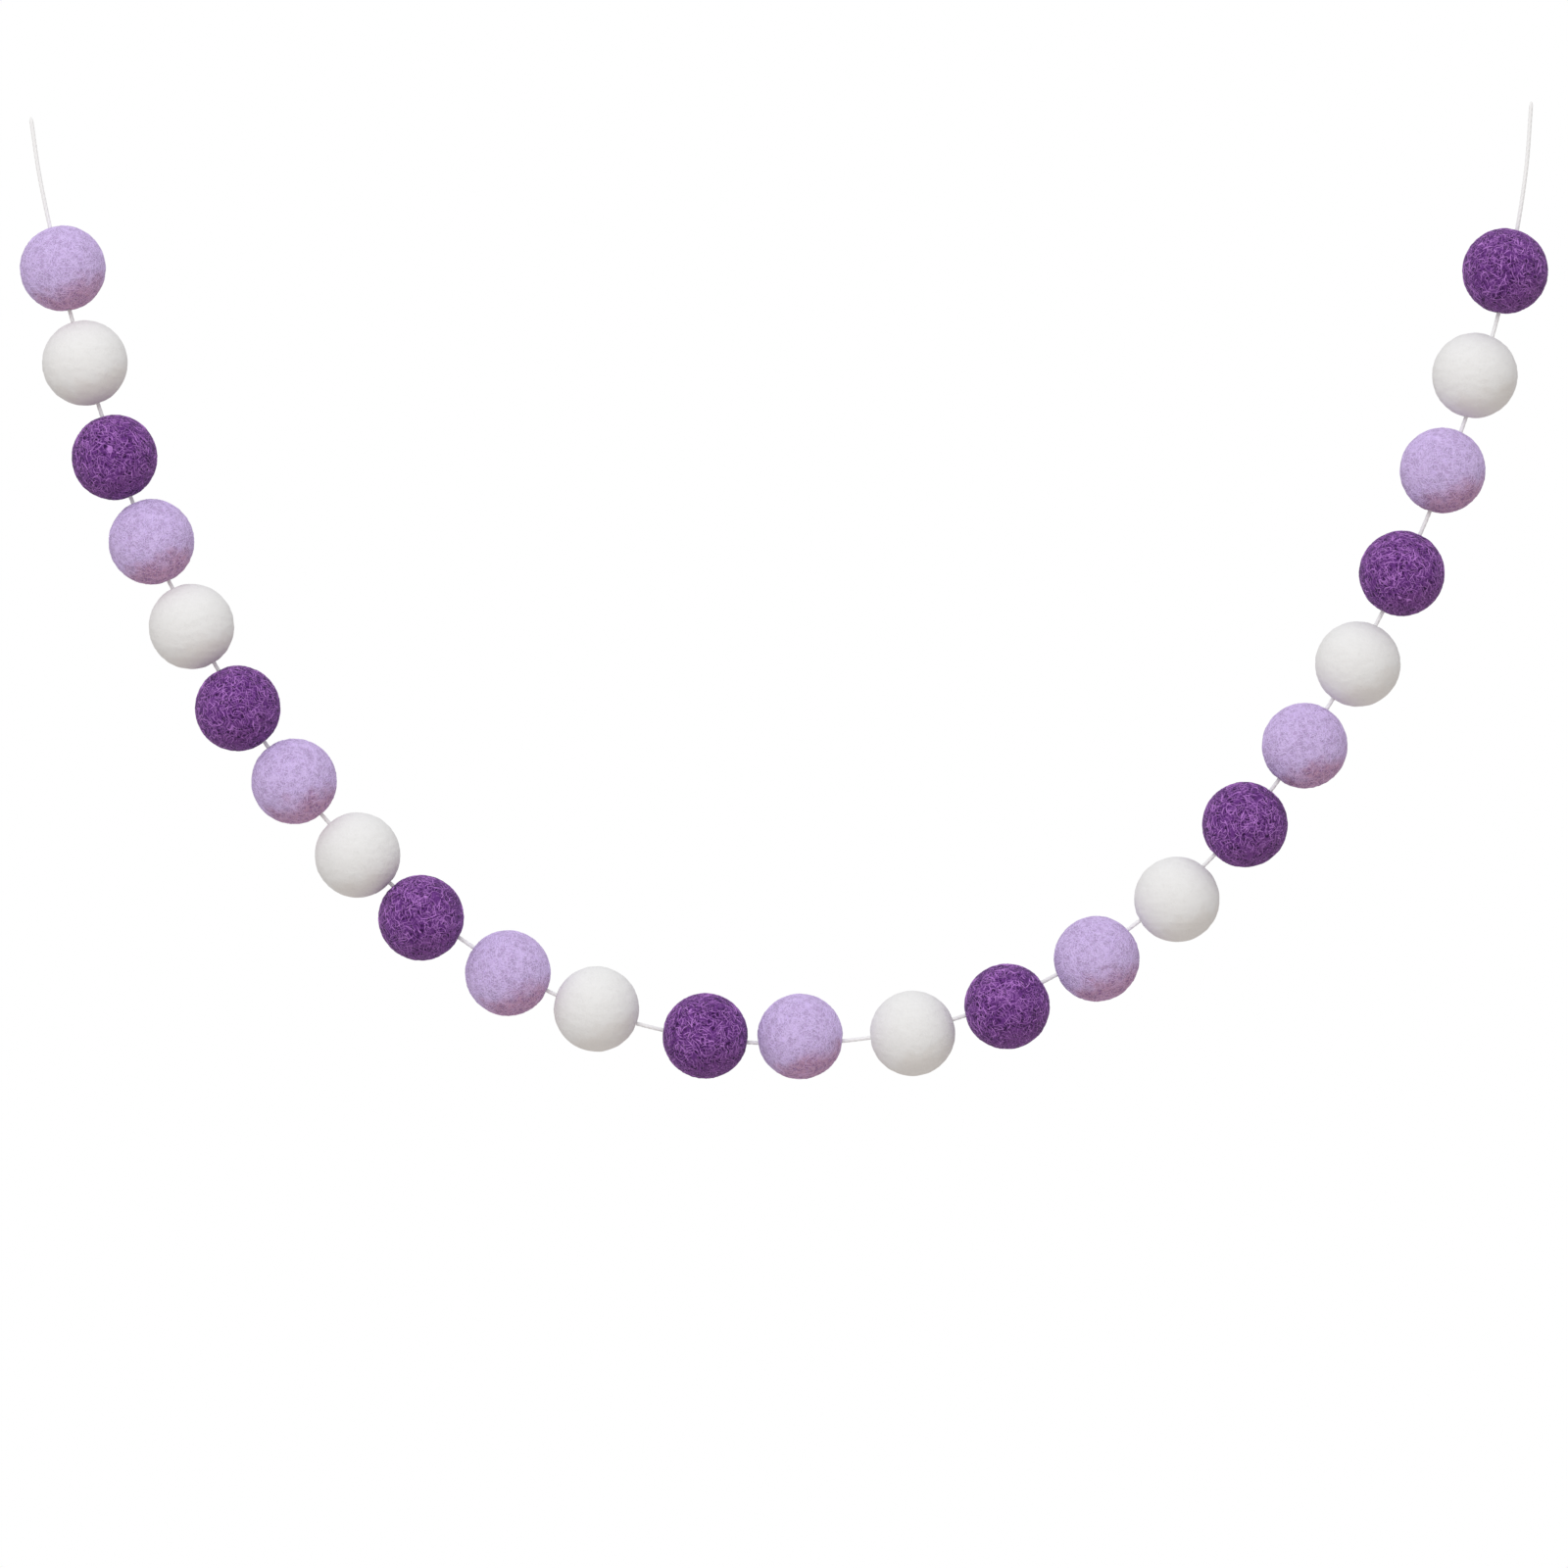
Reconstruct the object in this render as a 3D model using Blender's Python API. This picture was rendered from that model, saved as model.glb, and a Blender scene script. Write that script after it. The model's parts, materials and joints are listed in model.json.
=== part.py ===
"""Felt ball garland: a row of felt balls threaded on one string that hangs in a deep curve from its two ends.

Metres, +Z up. The origin is the string's left end, where the garland is tied up. The span runs along +X to
the right end, +Y points away from the viewer, and the string's route lies in the plane Y = 0.
"""

from collections import namedtuple

import bmesh
import bpy
from mathutils import Matrix, Vector
from mathutils.geometry import interpolate_bezier

# Driving dimensions

BALL_DIAMETER = 0.025
STRING_DIAMETER = 0.0012
BORE_CLEARANCE = 0.00035  # left free round the string inside a ball

STRING_POINTS = 80  # along the string's tube
CURVE_RESOLUTION = 24  # points read on each stretch of the smooth curve, before they are spread evenly
TUBE_BEVEL_RESOLUTION = 2
BORE_SIDES = 8
BALL_SEGMENTS = 16  # round the string
BALL_RINGS = 8  # from one end of the hole to the other

# The string's route from the left end to the right end, as (x, z) in the plane Y = 0: a short plain tail, the
# hanging curve with its lowest point a little left of the middle, and the other tail.

ROUTE = [
    (0.0000, 0.0000),
    (0.0025, -0.0170),
    (0.0060, -0.0340),
    (0.0120, -0.0590),
    (0.0210, -0.0880),
    (0.0345, -0.1240),
    (0.0480, -0.1500),
    (0.0690, -0.1840),
    (0.0960, -0.2160),
    (0.1275, -0.2420),
    (0.1530, -0.2570),
    (0.1820, -0.2670),
    (0.2120, -0.2715),
    (0.2425, -0.2705),
    (0.2725, -0.2640),
    (0.2990, -0.2525),
    (0.3235, -0.2370),
    (0.3550, -0.2080),
    (0.3810, -0.1720),
    (0.4020, -0.1340),
    (0.4200, -0.0905),
    (0.4295, -0.0610),
    (0.4360, -0.0320),
    (0.4385, -0.0150),
    (0.4400, 0.0045),
]

# The balls from left to right. gap is the bare string before the ball, and sag is how far the ball's middle
# lies below or outside the string, because a needle never runs through the exact middle.

Ball = namedtuple("Ball", "gap sag")
BALLS = [
    Ball(gap=0.0330, sag=-0.0010),
    Ball(gap=0.0035, sag=0.0000),
    Ball(gap=0.0040, sag=0.0005),
    Ball(gap=0.0020, sag=-0.0005),
    Ball(gap=0.0025, sag=0.0005),
    Ball(gap=0.0025, sag=0.0010),
    Ball(gap=0.0020, sag=0.0000),
    Ball(gap=0.0035, sag=0.0005),
    Ball(gap=0.0010, sag=0.0020),
    Ball(gap=0.0050, sag=0.0010),
    Ball(gap=0.0030, sag=-0.0005),
    Ball(gap=0.0080, sag=-0.0005),
    Ball(gap=0.0030, sag=-0.0020),
    Ball(gap=0.0080, sag=0.0010),
    Ball(gap=0.0035, sag=0.0020),
    Ball(gap=0.0045, sag=0.0020),
    Ball(gap=0.0040, sag=0.0020),
    Ball(gap=0.0045, sag=0.0005),
    Ball(gap=0.0040, sag=0.0005),
    Ball(gap=0.0035, sag=0.0010),
    Ball(gap=0.0045, sag=0.0000),
    Ball(gap=0.0075, sag=-0.0010),
    Ball(gap=0.0045, sag=-0.0015),
    Ball(gap=0.0070, sag=-0.0010),
]

# Colours, linear RGB, and the roughness of each finish

Finish = namedtuple("Finish", "name colour roughness")
STRING_FINISH = Finish("cotton_string", (0.80, 0.80, 0.79), 0.85)
FELTS = [
    Finish("lavender_felt", (0.58, 0.45, 0.68), 0.95),
    Finish("white_felt", (0.82, 0.81, 0.79), 0.95),
    Finish("purple_felt", (0.23, 0.10, 0.30), 0.95),
]


def clear_scene():
    for thing in list(bpy.data.objects):
        bpy.data.objects.remove(thing)


def make_material(finish):
    material = bpy.data.materials.new(finish.name)
    material.use_nodes = True
    shader = material.node_tree.nodes["Principled BSDF"]
    shader.inputs["Base Color"].default_value = (*finish.colour, 1.0)
    shader.inputs["Roughness"].default_value = finish.roughness
    shader.inputs["Metallic"].default_value = 0.0
    return material


# The string's path


def smooth_curve(knots):
    """Points on one smooth curve through the knots."""
    chords = [end - start for start, end in zip(knots, knots[1:])]
    slopes = [chords[0].normalized()]
    for before, after in zip(chords, chords[1:]):
        blend = before.normalized() * after.length + after.normalized() * before.length
        slopes.append(blend / (before.length + after.length))
    slopes.append(chords[-1].normalized())
    points = []
    for i, chord in enumerate(chords):
        leaving = knots[i] + slopes[i] * chord.length / 3
        arriving = knots[i + 1] - slopes[i + 1] * chord.length / 3
        points += interpolate_bezier(knots[i], leaving, arriving, knots[i + 1], CURVE_RESOLUTION)[:-1]
    points.append(knots[-1])
    return points


def path_length(points):
    return sum((end - start).length for start, end in zip(points, points[1:]))


def place_on_path(points, distance):
    """The point at a distance along the path, and the path's direction there."""
    for start, end in zip(points, points[1:]):
        step = (end - start).length
        if distance <= step or end is points[-1]:
            break
        distance -= step
    direction = (end - start).normalized()
    return start + direction * distance, direction


def string_path():
    """The string's centreline, with its points the same distance apart."""
    curve = smooth_curve([Vector((x, 0.0, z)) for x, z in ROUTE])
    spacing = path_length(curve) / (STRING_POINTS - 1)
    return [place_on_path(curve, i * spacing)[0] for i in range(STRING_POINTS)]


def make_string(path, garland):
    """The string as one plain tube with flat cut ends."""
    curve = bpy.data.curves.new("string", "CURVE")
    curve.dimensions = "3D"
    curve.bevel_depth = STRING_DIAMETER / 2
    curve.bevel_resolution = TUBE_BEVEL_RESOLUTION
    curve.use_fill_caps = True
    spline = curve.splines.new("POLY")
    spline.points.add(len(path) - 1)
    for spot, place in zip(spline.points, path):
        spot.co = (*place, 1.0)
    string = bpy.data.objects.new("string", curve)
    curve.materials.append(make_material(STRING_FINISH))
    bpy.context.collection.objects.link(string)
    string.parent = garland


def make_bore_cutter(path):
    """A tube along the string that is wider by the clearance. It cuts the hole in every ball."""
    radius = STRING_DIAMETER / 2 + BORE_CLEARANCE
    shape = bmesh.new()
    rings = []
    for i, place in enumerate(path):
        along = path[min(i + 1, len(path) - 1)] - path[max(i - 1, 0)]
        turn = along.to_track_quat("Z", "Y").to_matrix().to_4x4()
        made = bmesh.ops.create_circle(
            shape, segments=BORE_SIDES, radius=radius, matrix=Matrix.Translation(place) @ turn
        )
        rings.append(made["verts"])
    for near, far in zip(rings, rings[1:]):
        for i in range(BORE_SIDES):
            j = (i + 1) % BORE_SIDES
            shape.faces.new((near[i], near[j], far[j], far[i]))
    shape.faces.new(reversed(rings[0]))
    shape.faces.new(rings[-1])
    bmesh.ops.recalc_face_normals(shape, faces=shape.faces)
    mesh = bpy.data.meshes.new("bore_cutter")
    shape.to_mesh(mesh)
    shape.free()
    cutter = bpy.data.objects.new("bore_cutter", mesh)
    bpy.context.collection.objects.link(cutter)
    cutter.hide_render = True
    cutter.display_type = "WIRE"
    return cutter


# The balls


def make_ball_mesh(finish):
    """A round ball with its poles on the string."""
    shape = bmesh.new()
    bmesh.ops.create_uvsphere(
        shape, u_segments=BALL_SEGMENTS, v_segments=BALL_RINGS, radius=BALL_DIAMETER / 2
    )
    mesh = bpy.data.meshes.new(finish.name)
    shape.to_mesh(mesh)
    shape.free()
    mesh.shade_smooth()
    mesh.materials.append(make_material(finish))
    return mesh


def make_balls(path, cutter, garland):
    """Threads the balls along the string, with the three felts taking turns."""
    meshes = [make_ball_mesh(finish) for finish in FELTS]
    travelled = 0.0
    for number, row in enumerate(BALLS, start=1):
        place, direction = place_on_path(path, travelled + row.gap + BALL_DIAMETER / 2)
        travelled += row.gap + BALL_DIAMETER
        outwards = Vector((direction.z, 0.0, -direction.x))
        ball = bpy.data.objects.new(f"ball_{number:02d}", meshes[(number - 1) % len(meshes)])
        bpy.context.collection.objects.link(ball)
        ball.parent = garland
        ball.location = place + outwards * row.sag
        ball.rotation_mode = "QUATERNION"
        ball.rotation_quaternion = direction.to_track_quat("Z", "Y")
        bore = ball.modifiers.new("bore", "BOOLEAN")
        bore.operation = "DIFFERENCE"
        bore.solver = "EXACT"
        bore.object = cutter


def main():
    clear_scene()
    garland = bpy.data.objects.new("garland", None)
    bpy.context.collection.objects.link(garland)
    path = string_path()
    make_string(path, garland)
    make_balls(path, make_bore_cutter(path), garland)


main()
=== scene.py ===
"""The finish of a felt ball garland: its twisted string, its felted balls and the studio that it hangs in.

Laid out as a Blender add-on and run as a script. Sizes are in metres, in the frame's own axes: the string's
left end is the origin, the span runs along +X, +Z is up and the viewer stands towards -Y.
"""

import json
import math

import bpy
import numpy as np
from bpy.props import FloatProperty, FloatVectorProperty, IntProperty, PointerProperty
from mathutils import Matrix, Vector, noise
from mathutils.geometry import interpolate_bezier


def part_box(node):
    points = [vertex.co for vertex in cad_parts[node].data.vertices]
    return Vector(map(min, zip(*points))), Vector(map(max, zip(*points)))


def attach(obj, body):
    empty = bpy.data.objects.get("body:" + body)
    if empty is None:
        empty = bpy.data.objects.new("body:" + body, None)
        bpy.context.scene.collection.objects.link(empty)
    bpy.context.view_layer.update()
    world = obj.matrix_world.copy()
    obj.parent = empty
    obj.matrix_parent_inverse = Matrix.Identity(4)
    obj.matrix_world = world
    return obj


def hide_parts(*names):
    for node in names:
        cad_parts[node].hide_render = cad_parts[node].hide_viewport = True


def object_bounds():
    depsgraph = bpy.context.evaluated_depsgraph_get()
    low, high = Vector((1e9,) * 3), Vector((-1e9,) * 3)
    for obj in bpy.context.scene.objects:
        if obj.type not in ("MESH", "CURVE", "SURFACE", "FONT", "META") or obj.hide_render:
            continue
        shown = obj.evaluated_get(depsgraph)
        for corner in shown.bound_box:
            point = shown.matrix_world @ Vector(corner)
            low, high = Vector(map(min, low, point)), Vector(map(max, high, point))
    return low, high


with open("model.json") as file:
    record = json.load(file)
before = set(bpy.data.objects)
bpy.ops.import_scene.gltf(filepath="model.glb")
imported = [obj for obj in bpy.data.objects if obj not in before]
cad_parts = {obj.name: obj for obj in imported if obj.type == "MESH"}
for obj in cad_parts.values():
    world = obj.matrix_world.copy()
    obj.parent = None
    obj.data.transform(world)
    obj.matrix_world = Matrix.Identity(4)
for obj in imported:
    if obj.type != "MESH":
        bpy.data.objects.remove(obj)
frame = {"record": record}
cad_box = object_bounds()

bl_info = {
    "name": "Felt Ball Garland",
    "version": (1, 0, 0),
    "blender": (4, 5, 0),
    "location": "View3D > Sidebar > Garland",
    "description": "Makes the string, the felt balls and the studio of a hanging garland",
    "category": "Add Mesh",
}

MM = 0.001
BODY = "root"

# The string's route from its left end to its right end, as (x, z) in the plane Y = 0.

ROUTE = [
    (0.0000, 0.0000),
    (0.0025, -0.0170),
    (0.0060, -0.0340),
    (0.0120, -0.0590),
    (0.0210, -0.0880),
    (0.0345, -0.1240),
    (0.0480, -0.1500),
    (0.0690, -0.1840),
    (0.0960, -0.2160),
    (0.1275, -0.2420),
    (0.1530, -0.2570),
    (0.1820, -0.2670),
    (0.2120, -0.2715),
    (0.2425, -0.2705),
    (0.2725, -0.2640),
    (0.2990, -0.2525),
    (0.3235, -0.2370),
    (0.3550, -0.2080),
    (0.3810, -0.1720),
    (0.4020, -0.1340),
    (0.4200, -0.0905),
    (0.4295, -0.0610),
    (0.4360, -0.0320),
    (0.4385, -0.0150),
    (0.4400, 0.0045),
]
ROUTE_RESOLUTION = 96  # points read on each stretch of the smooth curve


# Settings


def colour(name, description, default):
    return FloatVectorProperty(
        name=name, description=description, default=default, subtype="COLOR", size=3, min=0.0, max=1.0
    )


def length(name, description, default):
    return FloatProperty(
        name=name, description=description, default=default, min=0.0, precision=5, unit="LENGTH"
    )


def share(name, description, default):
    return FloatProperty(name=name, description=description, default=default, min=0.0, max=1.0)


class GarlandString(bpy.types.PropertyGroup):
    """The string that the balls are threaded on"""

    diameter: length("Diameter", "Across the string over its plies", 0.0012)
    lay: length("Lay", "Length of string in which a ply goes once round", 0.0052)
    plies: IntProperty(name="Plies", description="Yarns twisted together", default=3, min=2, max=6)
    fibre: colour("Cotton", "Colour of the cotton where it faces the light", (0.95, 0.95, 0.95))
    # Painted shade in the grooves between the plies.
    groove: colour("Groove", "Colour of the cotton between the plies", (0.90, 0.90, 0.90))


class Felt:
    """What the felts have in common, unless one of them says otherwise"""

    fibres: IntProperty(name="Fibres", description="Raised fibres on a ball", default=780, min=0)
    lift: length("Lift", "How far a raised fibre stands out of the wool", 0.10 * MM)
    ripple: length("Ripple", "Height of the long soft wrinkles", 0.05 * MM)
    relief: length("Relief", "Depth of the pits between the finest fibres", 0.16 * MM)
    # Painted shade: how much darker the pits are made on the painted lower side.
    underside_pit_shade: share("Loose", "How much deeper the pits are where the second wool is", 0.0)


class LavenderFelt(Felt, bpy.types.PropertyGroup):
    """The pale lavender wool"""

    wool: colour("Wool", "Colour of most of the wool", (0.69, 0.545, 0.90))
    # Painted shade: the dark colour put into the pits between the fibres.
    pit: colour("Pits", "Colour between the fibres", (0.27, 0.135, 0.33))
    hair: colour("Fibres", "Colour of the fibres that lie on top", (0.72, 0.58, 0.92))
    # Painted shade with a warm bounce tint: a darker mauve on the lower side.
    blend: colour("Blend", "Colour of a second wool, rolled into the lower side", (0.58, 0.335, 0.515))
    net: share("Net", "How strongly the tangle of fine fibres shows", 0.40)
    relief: length("Relief", "Depth of the pits between the finest fibres", 0.22 * MM)
    # Painted shade: the pits are made darker on the lower side.
    underside_pit_shade: share("Loose", "How much deeper the pits are where the second wool is", 0.8)


class WhiteFelt(Felt, bpy.types.PropertyGroup):
    """The off-white wool"""

    wool: colour("Wool", "Colour of most of the wool", (0.86, 0.86, 0.855))
    # Painted shade: the dark colour put into the pits between the fibres.
    pit: colour("Pits", "Colour between the fibres", (0.74, 0.73, 0.71))
    hair: colour("Fibres", "Colour of the fibres that lie on top", (0.88, 0.88, 0.875))
    # Painted shade with a warm bounce tint: the lower side a little darker and warmer.
    blend: colour("Blend", "Colour of a second wool, rolled into the lower side", (0.80, 0.775, 0.75))
    net: share("Net", "How strongly the tangle of fine fibres shows", 0.15)
    fibres: IntProperty(name="Fibres", description="Raised fibres on a ball", default=240, min=0)
    lift: length("Lift", "How far a raised fibre stands out of the wool", 0.01 * MM)
    ripple: length("Ripple", "Height of the long soft wrinkles", 0.11 * MM)
    relief: length("Relief", "Depth of the pits between the finest fibres", 0.04 * MM)


class PurpleFelt(Felt, bpy.types.PropertyGroup):
    """The deep purple wool"""

    wool: colour("Wool", "Colour of most of the wool", (0.145, 0.036, 0.235))
    # Painted shade: the dark colour put into the pits between the fibres.
    pit: colour("Pits", "Colour between the fibres", (0.030, 0.004, 0.055))
    hair: colour("Fibres", "Colour of the fibres that lie on top", (0.64, 0.29, 0.82))
    # Painted bounce light: the lower side a little lighter.
    blend: colour("Blend", "Colour of a second wool, rolled into the lower side", (0.17, 0.05, 0.24))
    net: share("Net", "How strongly the tangle of fine fibres shows", 1.0)


class GarlandStudio(bpy.types.PropertyGroup):
    """The floor, the lights and the camera"""

    floor: colour("Floor", "Colour of the floor under the garland", (0.86, 0.83, 0.81))
    drop: length("Drop", "From the garland's lowest point down to the floor", 1.20)
    lens: FloatProperty(name="Lens", description="Focal length in millimetres", default=200.0, min=20.0)
    key_power: FloatProperty(
        name="Key light", description="Power of the main lamp", default=26.0, min=0.0, unit="POWER"
    )


SETTINGS = {
    "garland_string": GarlandString,
    "garland_lavender": LavenderFelt,
    "garland_white": WhiteFelt,
    "garland_purple": PurpleFelt,
    "garland_studio": GarlandStudio,
}


# Shader expressions


class Wire:
    """A shader socket that works in Python expressions, where each operation adds a Math node."""

    def __init__(self, recipe, socket):
        self.recipe = recipe
        self.socket = socket

    def __add__(self, other):
        return self.recipe.math("ADD", self, other)

    __radd__ = __add__

    def __sub__(self, other):
        return self.recipe.math("SUBTRACT", self, other)

    def __rsub__(self, other):
        return self.recipe.math("SUBTRACT", other, self)

    def __mul__(self, other):
        return self.recipe.math("MULTIPLY", self, other)

    __rmul__ = __mul__

    def __abs__(self):
        return self.recipe.math("ABSOLUTE", self)

    def fold(self, width):
        """Runs up to the width and back again, over and over."""
        return self.recipe.math("PINGPONG", self, width)

    def larger(self, other):
        return self.recipe.math("MAXIMUM", self, other)

    def between(self, low, high):
        """0 at low and 1 at high, with soft ends. low may be the greater."""
        settings = {"interpolation_type": "SMOOTHSTEP"}
        values = {"Value": self, "From Min": low, "From Max": high}
        return self.recipe.node("ShaderNodeMapRange", settings, values)


class Recipe:
    """A node tree under construction."""

    def __init__(self, tree):
        self.tree = tree
        tree.nodes.clear()

    def node(self, kind, settings=None, values=None, output=0):
        """Adds a node, makes its settings, feeds its sockets and returns one of its outputs, if any."""
        made = self.tree.nodes.new(kind)
        for name, setting in (settings or {}).items():
            setattr(made, name, setting)
        for key, value in (values or {}).items():
            if isinstance(value, Wire):
                self.tree.links.new(value.socket, made.inputs[key])
            else:
                made.inputs[key].default_value = value
        return Wire(self, made.outputs[output]) if made.outputs else None

    def math(self, operation, *values):
        return self.node("ShaderNodeMath", {"operation": operation}, dict(enumerate(values)))

    def marked(self, name):
        """The number that the points of a piece carry under this name."""
        return self.node("ShaderNodeAttribute", {"attribute_name": name}, output="Fac")

    def moved(self, place, step):
        return self.node("ShaderNodeVectorMath", {"operation": "ADD"}, {0: place, 1: step})

    def along(self, place, way):
        """How far the place lies along the way."""
        return self.node("ShaderNodeVectorMath", {"operation": "DOT_PRODUCT"}, {0: place, 1: way}, "Value")

    def millimetres(self):
        """The place on the object, in millimetres."""
        place = self.node("ShaderNodeTexCoord", output="Object")
        return self.node("ShaderNodeVectorMath", {"operation": "SCALE"}, {0: place, "Scale": 1 / MM})

    def noise(self, place, size, shift=0.0, detail=0.0):
        """Soft noise around 0.5, whose lumps are about this size in the place's own units."""
        values = {"Vector": self.moved(place, (shift,) * 3), "Scale": 1 / size, "Detail": detail}
        return self.node("ShaderNodeTexNoise", {}, values)

    def mix(self, factor, first, second):
        """A colour between two colours."""
        values = {0: factor, 6: opaque(first), 7: opaque(second)}
        return self.node("ShaderNodeMix", {"data_type": "RGBA"}, values, output=2)

    def bump(self, height, depth, strength):
        """The surface's slope, where a height of 1 stands the depth above a height of 0."""
        values = {"Height": height, "Distance": depth, "Strength": strength}
        return self.node("ShaderNodeBump", {}, values)

    def finish(self, values):
        """Ends a material with one shader that has these values."""
        shader = self.node("ShaderNodeBsdfPrincipled", {}, values)
        self.node("ShaderNodeOutputMaterial", {}, {"Surface": shader})


def opaque(value):
    """A colour with its alpha, or the wire that carries one."""
    return value if isinstance(value, Wire) else (*value[:3], 1.0)


def new_material(name):
    material = bpy.data.materials.new(name)
    material.use_nodes = True
    return material, Recipe(material.node_tree)


# The string's path


def smooth_curve(knots):
    """Points on one smooth curve through the knots, as the rows of an array."""
    knots = [Vector((x, 0.0, z)) for x, z in knots]
    chords = [end - start for start, end in zip(knots, knots[1:])]
    slopes = [chords[0].normalized()]
    for before, after in zip(chords, chords[1:]):
        blend = before.normalized() * after.length + after.normalized() * before.length
        slopes.append(blend / (before.length + after.length))
    slopes.append(chords[-1].normalized())
    points = []
    for i, chord in enumerate(chords):
        leaving = knots[i] + slopes[i] * chord.length / 3
        arriving = knots[i + 1] - slopes[i + 1] * chord.length / 3
        points += interpolate_bezier(knots[i], leaving, arriving, knots[i + 1], ROUTE_RESOLUTION)[:-1]
    points.append(knots[-1])
    return np.array(points)


def distances(points):
    """How far along the path each of its points lies."""
    return np.concatenate([[0.0], np.cumsum(np.linalg.norm(np.diff(points, axis=0), axis=1))])


def evenly(points, spacing):
    """The same path with its points about the spacing apart."""
    along = distances(points)
    wanted = np.linspace(0.0, along[-1], round(along[-1] / spacing) + 1)
    return np.stack([np.interp(wanted, along, axis) for axis in points.T], axis=1)


def unit(vectors):
    """The same vectors at length 1."""
    return vectors / np.linalg.norm(vectors, axis=-1, keepdims=True)


PATH_STEP = 0.25 * MM
STRING_PATH = evenly(smooth_curve(ROUTE), PATH_STEP)


# Pieces


def add_piece(name, vertices, faces, materials, replaced):
    """Makes a smooth mesh piece that stands for a CAD node."""
    mesh = bpy.data.meshes.new(name)
    mesh.from_pydata(np.asarray(vertices).tolist(), [], faces)
    for material in materials:
        mesh.materials.append(material)
    mesh.shade_smooth()
    mesh.update()
    piece = bpy.data.objects.new(name, mesh)
    bpy.context.collection.objects.link(piece)
    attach(piece, BODY)
    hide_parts(replaced)
    return piece


def mark(piece, name, values):
    """Gives every point of the piece a number that its materials can read."""
    marks = piece.data.attributes.new(name, "FLOAT", "POINT")
    marks.data.foreach_set("value", values)


def grid_faces(rings, sides, closed=False):
    """Quads between rings of the same number of points. closed joins the last ring to the first."""
    faces = []
    for i in range(rings if closed else rings - 1):
        near, far = i * sides, (i + 1) % rings * sides
        for j in range(sides):
            k = (j + 1) % sides
            faces.append((near + j, near + k, far + k, far + j))
    return faces


def grid_map(rings, sides, closed=False):
    """Where grid_faces has the corners of its quads: the share round and the share along of each."""
    rows = rings if closed else rings - 1
    along, around = np.divmod(np.arange(rows * sides), sides)
    around = around[:, None] + np.array([0, 1, 1, 0])
    along = along[:, None] + np.array([0, 0, 1, 1])
    return np.stack([around / sides, along / rows], axis=2).reshape(-1, 2)


def lay_flat(piece, places):
    """Gives every corner of the piece's faces its place on a flat square."""
    piece.data.uv_layers.new(name="OFBake").uv.foreach_set("vector", places.ravel())


# The string

STRING_SIDES = 15
STRING_STEP = 0.45 * MM
PLY_DEPTH = 0.12  # how deep the groove between two plies is, as a share of the radius
GROOVE_POWER = 3  # of the wave round the string: the higher, the narrower the grooves
END_ROUNDS = (0.30, 0.62, 0.86)  # radius of the last few rings at a cut end, as a share of the full one
YARN_RELIEF = 0.06 * MM
GROOVE_DROP = 0.5  # of a groove, as a share of that relief

# Soft noises: the size of their lumps in millimetres, a shift that tells them apart, and their detail

SLUB = (3.0, 0.0, 2.0)
YARN = (0.16, 7.0, 2.0)

# How much each of them darkens the cotton

# The grooves' darkening is painted shade; the slubs and the yarn vary the tone at random.
GROOVE_PAINTED_SHADE = 0.85
SLUB_TONE = 0.5
YARN_TONE = 0.6


def string_material(look):
    material, recipe = new_material("cotton_string")
    place = recipe.millimetres()
    groove = recipe.marked("groove")
    slub = recipe.noise(place, *SLUB)
    yarn = recipe.noise(place, *YARN)
    # Painted shade: the cotton darkens towards the groove colour in the grooves.
    tone = groove * GROOVE_PAINTED_SHADE + (slub - 0.5) * SLUB_TONE + (yarn - 0.5) * YARN_TONE
    recipe.finish(
        {
            "Base Color": recipe.mix(tone.between(0.0, 1.0), look.fibre, look.groove),
            "Roughness": 0.78 + yarn * 0.2,
            "Normal": recipe.bump(yarn - groove * GROOVE_DROP, YARN_RELIEF, 0.6),
            "Sheen Weight": 0.2,
            "Sheen Roughness": 0.5,
        }
    )
    return material


def string_mesh(look):
    """Rings of the twisted plies along the path, and how deep in a groove each point lies."""
    path = evenly(STRING_PATH, STRING_STEP)
    ahead = unit(np.gradient(path, axis=0))
    side = np.array([0.0, 1.0, 0.0])
    over = np.cross(ahead, side)
    turn = 2 * math.pi * distances(path) / look.lay
    angles = np.linspace(0.0, 2 * math.pi, STRING_SIDES, endpoint=False)
    wave = 0.5 + 0.5 * np.cos(look.plies * (angles[None, :] - turn[:, None]))
    groove = wave**GROOVE_POWER
    radius = look.diameter / 2 * (1 - PLY_DEPTH * groove)
    for i, rounding in enumerate(END_ROUNDS):
        radius[i] *= rounding
        radius[-1 - i] *= rounding
    ring = np.cos(angles)[None, :, None] * side + np.sin(angles)[None, :, None] * over[:, None, :]
    points = path[:, None, :] + radius[:, :, None] * ring
    faces = grid_faces(len(path), STRING_SIDES)
    last = (len(path) - 1) * STRING_SIDES
    faces.append(tuple(range(STRING_SIDES))[::-1])
    faces.append(tuple(range(last, last + STRING_SIDES)))
    return path, points.reshape(-1, 3), faces, groove.ravel()


def make_string(look):
    """The string's one piece."""
    path, points, faces, groove = string_mesh(look)
    string = add_piece("garland_string", points, faces, [string_material(look)], "string")
    mark(string, "groove", groove)


# The felt balls

BALL_SIDES = 128
BALL_RINGS = 72
HOLE_RINGS = 6
HOLE_RADIUS = 0.70 * MM  # the wool closes round the string
HOLE_TURN = 0.5  # how far from a hole the rings are still drawn towards it, in radians
PUCKER_DEPTH = 0.35 * MM  # how far the string draws the wool in
PUCKER_REACH = 0.9 * MM
LUMP_SIZE = 8.0 * MM
LUMP_HEIGHT = 0.03 * MM
GRAIN_SIZE = 1.6 * MM
GRAIN_HEIGHT = 0.05 * MM
RIPPLE_SIZE = Vector((3.6, 3.6, 1.1)) * MM  # the wrinkles lie level

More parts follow.
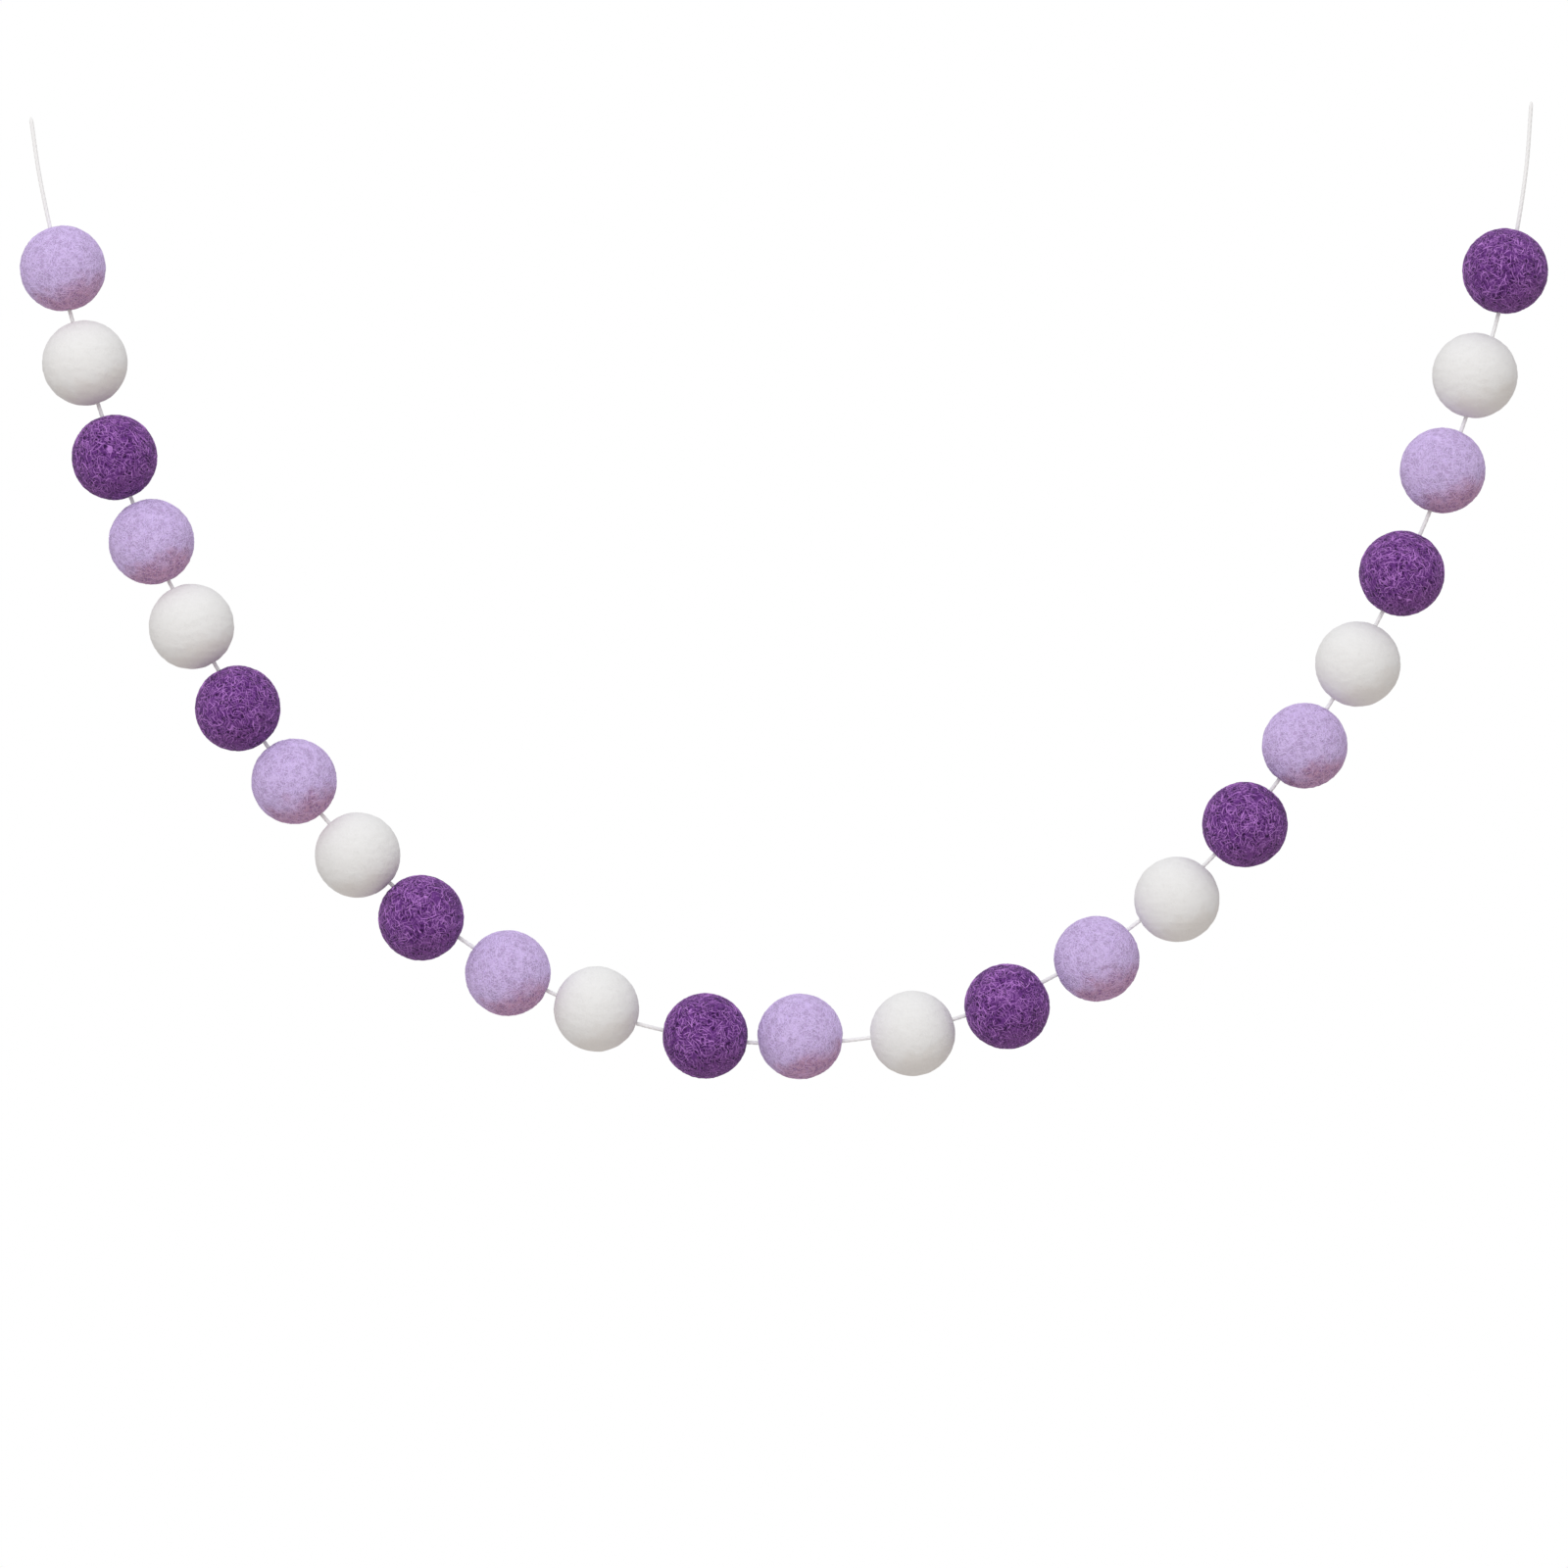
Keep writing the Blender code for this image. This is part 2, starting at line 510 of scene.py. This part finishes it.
FIBRE_STEPS = 4
FIBRE_LENGTH = (1.6 * MM, 4.6 * MM)
FIBRE_WIDTH = 0.34 * MM  # at its foot, which is under the wool
FIBRE_TIP = 0.3  # width of its ends, as a share of the full width
FIBRE_ROOT = 0.06 * MM  # how far its foot sinks in; its ends sink in half as far
FIBRE_CURL = 0.38  # usual turn of a fibre at each step, in radians
CURL_KEPT = 0.6  # share of its turn that it keeps at the next step
CURL_CHANGE = 0.6  # share of a new turn that it takes on
FIBRE_TONES = (0.15, 1.0)  # from the wool's own colour, 0, to that of the fibres on top, 1
FIBRE_CLEARANCE = 0.5 * MM  # between a fibre and the rim of a hole
SWIRL_SIZE = 7.0 * MM
SWIRL_STRAY = 0.8  # how far a fibre strays from its neighbours' direction, in radians
SWIRL_SEED = 1  # without one, the swirl would be another at each run

CELLS_ACROSS = 64  # fibres laid flat side by side
CELL_MARGIN = 0.12  # round each of them, as a share of its cell
BODY_FROM = 0.22  # where the body begins on the flat square, above the fibres

SHADE_AND_BOUNCE_SIDE = np.array([0.36, -0.10, -0.93])  # the middle of the lower side, where shade and warm bounce light are painted
SHADE_AND_BOUNCE_REACH = (0.66, 0.92)  # where the painted shade and bounce begin and where they are full, from 0 opposite to 1 there


class Ball:
    """Where one ball sits, how the string runs through it and how its wool lies."""

    def __init__(self, node, look):
        low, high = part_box(node)
        self.look = look
        self.middle = np.array((low + high) / 2)
        self.radius = max(high - low) / 2
        inside = np.linalg.norm(STRING_PATH - self.middle, axis=1) < self.radius
        self.threaded = STRING_PATH[inside]
        self.entry = unit(self.threaded[0] - self.middle)
        self.exit = unit(self.threaded[-1] - self.middle)
        self.axis = unit(self.exit - self.entry)
        self.across = np.array([0.0, 1.0, 0.0])
        self.up = np.cross(self.axis, self.across)

    def from_hole(self, outwards):
        """Distance over the wool from the nearer hole's middle."""
        near = np.maximum(outwards @ self.entry, outwards @ self.exit)
        return self.radius * np.arccos(np.clip(near, -1.0, 1.0))

    def surface(self, outwards):
        """How far the wool reaches from the ball's middle in each direction."""
        reach = np.empty(len(outwards))
        for i, way in enumerate(outwards):
            place = Vector(self.middle + way * self.radius)
            stretched = Vector(a / b for a, b in zip(place, RIPPLE_SIZE))
            reach[i] = (
                LUMP_HEIGHT * noise.noise(place / LUMP_SIZE)
                + GRAIN_HEIGHT * noise.noise(place / GRAIN_SIZE)
                + self.look.ripple * noise.noise(stretched)
            )
        drawn_in = PUCKER_DEPTH * np.exp(-self.from_hole(outwards) / PUCKER_REACH)
        return self.radius + reach - drawn_in

    def body(self):
        """The wool as rings round the string, over the outside and back through the hole."""
        rim = HOLE_RADIUS / self.radius
        slant = np.linspace(rim, math.pi - rim, BALL_RINGS)
        angles = np.linspace(0.0, 2 * math.pi, BALL_SIDES, endpoint=False)
        spoke = np.cos(angles)[:, None] * self.across + np.sin(angles)[:, None] * self.up
        outwards = np.sin(slant)[:, None, None] * spoke - np.cos(slant)[:, None, None] * self.axis
        to_entry = np.exp(-((slant / HOLE_TURN) ** 2))[:, None, None]
        outwards = outwards + to_entry * (self.entry + self.axis) + to_entry[::-1] * (self.exit - self.axis)
        outwards = unit(outwards).reshape(-1, 3)
        outside = self.middle + outwards * self.surface(outwards)[:, None]
        stops = np.linspace(1.0, 0.0, HOLE_RINGS + 2)[1:-1] * (len(self.threaded) - 1)
        inside = [self.threaded[round(stop)] + HOLE_RADIUS * spoke for stop in stops]
        points = np.concatenate([outside, *inside])
        rings = BALL_RINGS + HOLE_RINGS
        places = grid_map(rings, BALL_SIDES, closed=True) * (1, 1 - BODY_FROM) + (0, BODY_FROM)
        return points, grid_faces(rings, BALL_SIDES, closed=True), places

    def tracks(self, chance):
        """Curled ways over the wool that keep off the holes: directions and headings, step by step."""
        count = self.look.fibres
        outwards = unit(chance.normal(size=(count, 3)))
        places = [Vector(self.middle + way * self.radius) for way in outwards]
        swirl = np.array([noise.noise_vector(place / SWIRL_SIZE) for place in places])
        heading = unit(np.cross(outwards, swirl))
        heading = turned(heading, outwards, chance.normal(scale=SWIRL_STRAY, size=count))
        step = chance.uniform(*FIBRE_LENGTH, size=count) / FIBRE_STEPS / self.radius
        ahead, onwards = np.cos(step)[:, None], np.sin(step)[:, None]
        curl = chance.normal(scale=FIBRE_CURL, size=count)
        track = [(outwards, heading)]
        for _ in range(FIBRE_STEPS):
            outwards, heading = outwards * ahead + heading * onwards, heading * ahead - outwards * onwards
            heading = turned(heading, outwards, curl)
            curl = CURL_KEPT * curl + CURL_CHANGE * chance.normal(scale=FIBRE_CURL, size=count)
            track.append((outwards, heading))
        nearest = np.min([self.from_hole(way) for way, _ in track], axis=0)
        clear = nearest > HOLE_RADIUS + FIBRE_CLEARANCE
        return [(outwards[clear], heading[clear]) for outwards, heading in track]

    def fibres(self, chance):
        """Thin closed fibres that lie along the tracks and sink into the wool at both ends."""
        rings = []
        track = self.tracks(chance)
        for i, (outwards, heading) in enumerate(track):
            rise = math.sin(math.pi * i / FIBRE_STEPS) ** 0.5
            width = FIBRE_WIDTH / 2 * (FIBRE_TIP + (1 - FIBRE_TIP) * rise)
            crest = -FIBRE_ROOT / 2 + (self.look.lift + FIBRE_ROOT / 2) * rise
            beside = np.cross(outwards, heading) * width
            wool = self.middle + outwards * self.surface(outwards)[:, None]
            foot = wool - outwards * FIBRE_ROOT
            rings.append(np.stack([wool + outwards * crest, foot + beside, foot - beside], axis=1))
        points = np.stack(rings, axis=1).reshape(-1, 3)
        count = len(track[0][0])
        tones = np.repeat(chance.uniform(*FIBRE_TONES, size=count), len(points) // count)
        return points, fibre_faces(count, len(rings)), fibre_map(count, len(rings)), tones


def turned(heading, outwards, angle):
    """Directions along the wool, turned round the outward ones."""
    beside = np.cross(outwards, heading)
    return heading * np.cos(angle)[:, None] + beside * np.sin(angle)[:, None]


def fibre_map(count, rings):
    """Lays each fibre flat in a small square of its own, row by row in the lowest part of the square."""
    ends = np.array([(1.0, 0.0), (0.5, 0.0), (0.0, 0.0), (0.0, 1.0), (0.5, 1.0), (1.0, 1.0)])
    one = CELL_MARGIN + (1 - 2 * CELL_MARGIN) * np.concatenate([grid_map(rings, 3), ends])
    rows, columns = np.divmod(np.arange(count), CELLS_ACROSS)
    corner = np.stack([columns, rows], axis=1)[:, None, :]
    return ((corner + one) / CELLS_ACROSS).reshape(-1, 2)


def fibre_faces(count, rings):
    """Three sides and two ends for each fibre."""
    one = grid_faces(rings, 3)
    last = (rings - 1) * 3
    one += [(2, 1, 0), (last, last + 1, last + 2)]
    size = rings * 3
    return [tuple(corner + i * size for corner in face) for i in range(count) for face in one]


# The felt

STRAND_LAYERS = (  # the layers of fine strands: the way across them, and the shift of their noise
    ((1.0, 0.1, 0.2), 0.0),
    ((0.3, 0.9, 0.4), 13.0),
    ((-0.4, 0.3, 0.9), 29.0),
    ((0.6, -0.5, 0.6), 47.0),
)
STRAND_SPACING = 1.0  # in millimetres
STRAND_EDGE = (0.12, 0.01)  # where a strand ends and where it is full, in spacings from its middle
STRAND_WANDER = 3.4  # how far the strands wander, in spacings
STRAND_BEND = 3.2  # length over which they do, in millimetres
STRAND_FACING = (0.92, 0.70)  # how far a layer faces out of the wool where it is gone, and where it is whole
BREAK_SIZE = 1.6  # length over which a strand goes under, in millimetres
BREAK_SHIFT = 9.0
BREAK_LEVELS = (0.44, 0.60)  # noise at which it is under, and back on top
WEB_SIZE = 1.35  # of one of its holes, in millimetres
WEB_EDGE = 0.22  # how far its fibres reach from their middle lines, in hole sizes
WEB_BENDS = 0.7  # of its fibres in a millimetre

# Soft noises: the size of their lumps in millimetres, a shift that tells them apart, and their detail

PITTED = (2.0, 5.0, 1.0)
CLOUD = (5.0, 50.0, 2.0)
FINE_GRAIN = (0.3, 80.0, 2.0)
FIBRE_GRAIN = (0.2, 40.0, 0.0)

# Shares of the felt's relief

STRAND_RISE = 0.6
WEB_RISE = 0.3
PIT_DROP = 0.6
GRAIN_RISE = 0.3
FIBRE_RELIEF = 0.04 * MM  # of a raised fibre, on its own

# How the wool takes its colours

PITTED_LEVELS = (0.25, 0.6)  # noise where the wool has no pits, and where it has them all
CLOUD_LEVEL = 0.4  # noise where the wool has its own colour
PAINTED_PIT_SHADE = 0.9  # share of the pits' colour in a pit, painted shade
CLOUD_TONE = 0.3
HAIR_TONE = 0.7  # share of the top fibres' colour on a strand
SHADE_AND_BOUNCE_TONE = 0.7  # share of the painted lower-side shade and bounce colour on the raised fibres
SHADE_AND_BOUNCE_RAGGED = 0.4  # how far the clouds shift the edge of the painted lower-side shade and bounce


def strands(recipe, place):
    """Thin curved strands that cross each other: 1 on a strand and 0 between them."""
    outwards = recipe.node("ShaderNodeNewGeometry", output="Normal")
    net = None
    for way, shift in STRAND_LAYERS:
        wander = recipe.noise(place, STRAND_BEND, shift) * (STRAND_WANDER * STRAND_SPACING)
        across = ((recipe.along(place, way) + wander) * (1 / STRAND_SPACING)).fold(0.5)
        on_top = recipe.noise(place, BREAK_SIZE, shift + BREAK_SHIFT).between(*BREAK_LEVELS)
        flat = abs(recipe.along(outwards, way)).between(*STRAND_FACING)
        strand = across.between(*STRAND_EDGE) * on_top * flat
        net = strand if net is None else net.larger(strand)
    return net


def web(recipe, place):
    """The mesh of the finest fibres, with a pit in each of its holes."""
    values = {"Vector": place, "Scale": WEB_BENDS, "Detail": 1.0}
    wander = recipe.node("ShaderNodeTexNoise", {}, values, "Color")
    values = {"Vector": recipe.moved(place, wander), "Scale": 1 / WEB_SIZE}
    edge = recipe.node("ShaderNodeTexVoronoi", {"feature": "DISTANCE_TO_EDGE"}, values)
    return edge.between(WEB_EDGE, 0.0)


def felt_material(name, look):
    """Packed wool: fine strands over a web with pits painted dark as shade, and the lower side painted with
    the tint of shade and warm bounce light.
    """
    material, recipe = new_material(name)
    place = recipe.millimetres()
    top = strands(recipe, place)
    under = web(recipe, place)
    pits = (1 - under) * (1 - top) * recipe.noise(place, *PITTED).between(*PITTED_LEVELS)
    cloud = recipe.noise(place, *CLOUD)
    grain = recipe.noise(place, *FINE_GRAIN)
    # The lower side painted with the tint of shade and warm bounce light, with its pits painted darker.
    painted_shade_and_bounce = (recipe.marked("below") + (cloud - 0.5) * SHADE_AND_BOUNCE_RAGGED).between(*SHADE_AND_BOUNCE_REACH)
    wool = recipe.mix(painted_shade_and_bounce, look.wool, look.blend)
    tangle = look.net + painted_shade_and_bounce * (1 - look.net) * look.underside_pit_shade
    # Painted shade: the pits darken towards the pit colour; the clouds vary the tone at random.
    depth = (pits * PAINTED_PIT_SHADE + (cloud - CLOUD_LEVEL) * CLOUD_TONE) * tangle
    base = recipe.mix(depth, wool, look.pit)
    height = top * STRAND_RISE + under * WEB_RISE - pits * PIT_DROP + grain * GRAIN_RISE
    recipe.finish(
        {
            "Base Color": recipe.mix(top * (HAIR_TONE * look.net), base, look.hair),
            "Roughness": 0.85 + pits * 0.12,
            "Normal": recipe.bump(height, look.relief, 0.8),
            "Specular IOR Level": 0.15,
            "Sheen Weight": 0.08,
            "Sheen Roughness": 0.5,
        }
    )
    return material


def fibre_material(name, look):
    """The raised fibres, each with a tone of its own between the wool's colour and the top fibres', and the
    painted lower-side shade and bounce tint.
    """
    material, recipe = new_material(name)
    tint = recipe.mix(recipe.marked("tone"), look.wool, look.hair)
    # The raised fibres take the painted lower-side shade and warm bounce tint too.
    painted_shade_and_bounce = recipe.marked("below").between(*SHADE_AND_BOUNCE_REACH) * SHADE_AND_BOUNCE_TONE
    fine = recipe.noise(recipe.millimetres(), *FIBRE_GRAIN)
    recipe.finish(
        {
            "Base Color": recipe.mix(painted_shade_and_bounce, tint, look.blend),
            "Roughness": 0.8 + fine * 0.15,
            "Normal": recipe.bump(fine, FIBRE_RELIEF, 0.4),
            "Specular IOR Level": 0.2,
            "Sheen Weight": 0.08,
            "Sheen Roughness": 0.4,
        }
    )
    return material


def nodes_in(slot):
    """The CAD nodes that are made of this material."""
    return [row["node"] for row in frame["record"]["subparts"] if row["material_slot"] == slot]


def make_balls(slot, look):
    """Every ball of one felt."""
    noise.seed_set(SWIRL_SEED)
    materials = [felt_material(slot, look), fibre_material(slot + "_fibre", look)]
    for node in nodes_in(slot):
        ball = Ball(node, look)
        points, faces, places = ball.body()
        chance = np.random.default_rng(int(node.split("_")[-1]))
        fibres, fibre_sides, fibre_places, tones = ball.fibres(chance)
        own = len(faces)
        faces += [tuple(corner + len(points) for corner in face) for face in fibre_sides]
        name = slot + node.removeprefix("ball")
        points = np.concatenate([points, fibres])
        piece = add_piece(name, points, faces, materials, node)
        lay_flat(piece, np.concatenate([places, fibre_places]))
        # How far each point faces the lower side, where shade and warm bounce light are painted.
        mark(piece, "below", 0.5 + 0.5 * unit(points - ball.middle) @ SHADE_AND_BOUNCE_SIDE)
        mark(piece, "tone", np.concatenate([np.zeros(len(points) - len(fibres)), tones]))
        index = np.zeros(len(faces), dtype=np.int32)
        index[own:] = 1
        piece.data.polygons.foreach_set("material_index", index)


# The studio

FRAME_SHARE = 0.9735  # of the picture's width that the garland takes
TOP_MARGIN = 0.0297  # above the garland's highest point
SENSOR_WIDTH = 36.0  # in millimetres, as the lens is
CLIP_END = 20.0
FLOOR_SIZE = 4.0
FLOOR_GRAIN = (60.0, 0.0, 3.0)  # a soft noise, as above
FLOOR_SHADE = 0.97  # the darker of the floor's two tones
LIGHT_BELOW = (0.44, 0.40, 0.37)
LIGHT_ABOVE = (0.69, 0.69, 0.70)
LIGHT_TURN = 0.7  # how far below and above the level the light goes over from one to the other
KEY_SIZE = 1.2
KEY_PLACE = Vector((-0.5, -2.0, 1.5))  # from the garland's middle


def make_camera(look):
    """A long lens straight in front of the garland."""
    low, high = cad_box
    width = (high.x - low.x) / FRAME_SHARE
    data = bpy.data.cameras.new("camera")
    data.lens = look.lens
    data.sensor_width = SENSOR_WIDTH
    data.clip_end = CLIP_END
    camera = bpy.data.objects.new("camera", data)
    away = width * look.lens / SENSOR_WIDTH
    camera.location = ((low.x + high.x) / 2, -away, high.z + TOP_MARGIN - width / 2)
    camera.rotation_euler = (math.pi / 2, 0.0, 0.0)
    bpy.context.collection.objects.link(camera)
    bpy.context.scene.camera = camera


def make_world():
    """White to the camera, and a softer light that is warm and dim from below."""
    world = bpy.data.worlds.new("studio")
    world.use_nodes = True
    bpy.context.scene.world = world
    recipe = Recipe(world.node_tree)
    way = recipe.node("ShaderNodeTexCoord", output="Generated")
    split = recipe.node("ShaderNodeSeparateXYZ", {}, {0: way}, output="Z")
    tint = recipe.mix(split.between(-LIGHT_TURN, LIGHT_TURN), LIGHT_BELOW, LIGHT_ABOVE)
    light = recipe.node("ShaderNodeBackground", {}, {"Color": tint, "Strength": 1.0})
    white = recipe.node("ShaderNodeBackground", {}, {"Color": (1, 1, 1, 1), "Strength": 1.0})
    seen = recipe.node("ShaderNodeLightPath", output="Is Camera Ray")
    both = recipe.node("ShaderNodeMixShader", {}, {0: seen, 1: light, 2: white})
    recipe.node("ShaderNodeOutputWorld", {}, {"Surface": both})


def make_floor(look):
    """A plain square floor under the middle of the garland."""
    low, high = cad_box
    half = FLOOR_SIZE / 2
    middle = (low + high) / 2
    ground = low.z - look.drop
    signs = ((-1, -1), (1, -1), (1, 1), (-1, 1))
    corners = [(middle.x + x * half, middle.y + y * half, ground) for x, y in signs]
    mesh = bpy.data.meshes.new("floor")
    mesh.from_pydata(corners, [], [(0, 1, 2, 3)])
    material, recipe = new_material("floor")
    grain = recipe.noise(recipe.millimetres(), *FLOOR_GRAIN)
    darker = [FLOOR_SHADE * level for level in look.floor]
    tint = recipe.mix(grain.between(0.3, 0.7), look.floor, darker)
    recipe.finish({"Base Color": tint, "Roughness": 0.9})
    mesh.materials.append(material)
    floor = bpy.data.objects.new("floor", mesh)
    bpy.context.collection.objects.link(floor)


def make_key_lamp(look):
    """A soft square lamp above and to the left, aimed at the garland."""
    low, high = cad_box
    data = bpy.data.lights.new("key", "AREA")
    data.energy = look.key_power
    data.size = KEY_SIZE
    lamp = bpy.data.objects.new("key", data)
    lamp.location = (low + high) / 2 + KEY_PLACE
    lamp.rotation_euler = (-KEY_PLACE).to_track_quat("-Z", "Y").to_euler()
    bpy.context.collection.objects.link(lamp)


def set_view():
    """Shows the colours as they are, with no film curve over them."""
    view = bpy.context.scene.view_settings
    view.view_transform = "Standard"
    view.look = "None"


# Operators


class GARLAND_OT_stage(bpy.types.Operator):
    """Set up the camera, the lights and the floor"""

    bl_idname = "garland.stage"
    bl_label = "Studio"

    def execute(self, context):
        look = context.scene.garland_studio
        make_camera(look)
        make_world()
        make_floor(look)
        make_key_lamp(look)
        set_view()
        return {"FINISHED"}


class GARLAND_OT_string(bpy.types.Operator):
    """Lay the twisted string along its route"""

    bl_idname = "garland.string"
    bl_label = "String"

    def execute(self, context):
        make_string(context.scene.garland_string)
        return {"FINISHED"}


class GARLAND_OT_lavender_balls(bpy.types.Operator):
    """Felt the lavender balls"""

    bl_idname = "garland.lavender_balls"
    bl_label = "Lavender balls"

    def execute(self, context):
        make_balls("lavender_felt", context.scene.garland_lavender)
        return {"FINISHED"}


class GARLAND_OT_white_balls(bpy.types.Operator):
    """Felt the white balls"""

    bl_idname = "garland.white_balls"
    bl_label = "White balls"

    def execute(self, context):
        make_balls("white_felt", context.scene.garland_white)
        return {"FINISHED"}


class GARLAND_OT_purple_balls(bpy.types.Operator):
    """Felt the purple balls"""

    bl_idname = "garland.purple_balls"
    bl_label = "Purple balls"

    def execute(self, context):
        make_balls("purple_felt", context.scene.garland_purple)
        return {"FINISHED"}


class GARLAND_PT_panel(bpy.types.Panel):
    """The garland's pieces, in the order in which they are made"""

    bl_idname = "GARLAND_PT_panel"
    bl_label = "Felt Ball Garland"
    bl_space_type = "VIEW_3D"
    bl_region_type = "UI"
    bl_category = "Garland"

    def draw(self, context):
        for operator in OPERATORS:
            self.layout.operator(operator.bl_idname)


OPERATORS = (
    GARLAND_OT_stage,
    GARLAND_OT_string,
    GARLAND_OT_lavender_balls,
    GARLAND_OT_white_balls,
    GARLAND_OT_purple_balls,
)


def register():
    for name, group in SETTINGS.items():
        bpy.utils.register_class(group)
        setattr(bpy.types.Scene, name, PointerProperty(type=group))
    for kind in (*OPERATORS, GARLAND_PT_panel):
        bpy.utils.register_class(kind)


def unregister():
    for kind in (GARLAND_PT_panel, *reversed(OPERATORS)):
        bpy.utils.unregister_class(kind)
    for name, group in SETTINGS.items():
        delattr(bpy.types.Scene, name)
        bpy.utils.unregister_class(group)


def main():
    register()
    bpy.ops.garland.stage()
    bpy.ops.garland.string()
    bpy.ops.garland.lavender_balls()
    bpy.ops.garland.white_balls()
    bpy.ops.garland.purple_balls()


if __name__ == "__main__":
    main()
